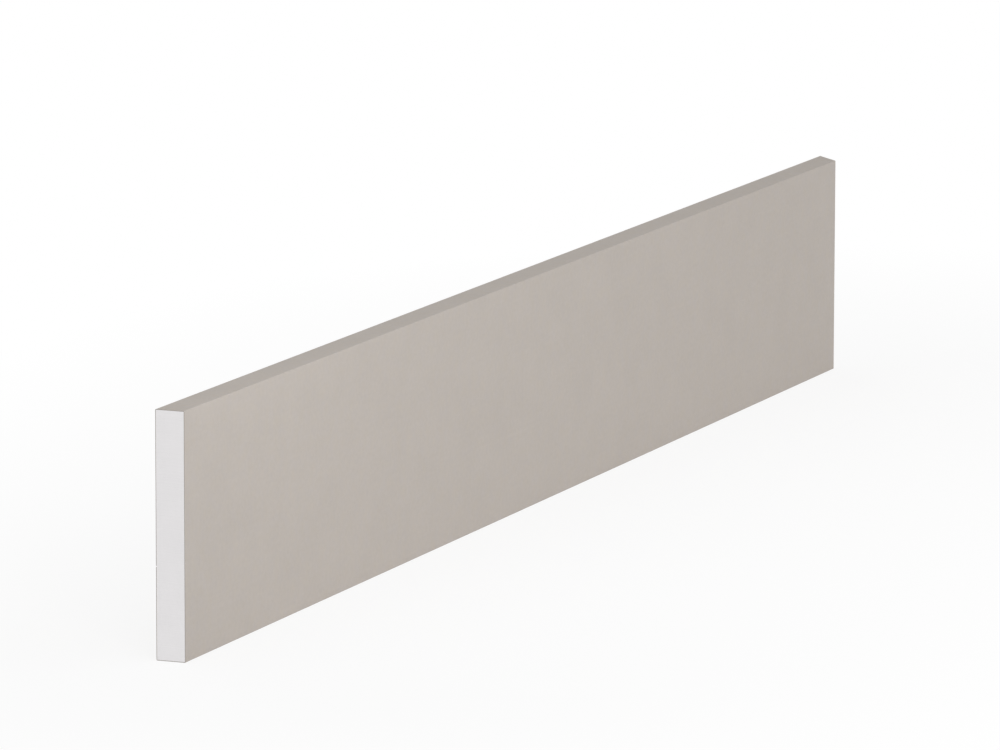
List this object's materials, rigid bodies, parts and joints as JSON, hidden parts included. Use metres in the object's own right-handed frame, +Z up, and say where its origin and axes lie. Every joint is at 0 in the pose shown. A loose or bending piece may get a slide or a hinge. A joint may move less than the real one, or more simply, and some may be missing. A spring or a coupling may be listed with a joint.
{
  "type": "skirting board",
  "caption": "Plain square-edged skirting board: a flat rectangular board wrapped in taupe decor foil over a light grey core, both ends sawn square.",
  "frame": {"origin": "middle of the long edge that stands on the floor, halfway between front and back", "axes": "+X along the board, +Y towards the wall behind it, +Z up; the face that the room sees looks towards -Y"},
  "size_m": [0.6, 0.01, 0.08],
  "materials": {
    "core": "matte",
    "foil": "satin"
  },
  "bodies": {
    "root": {"core_board": "core", "foil_wrap": "foil"}
  },
  "joints": []
}
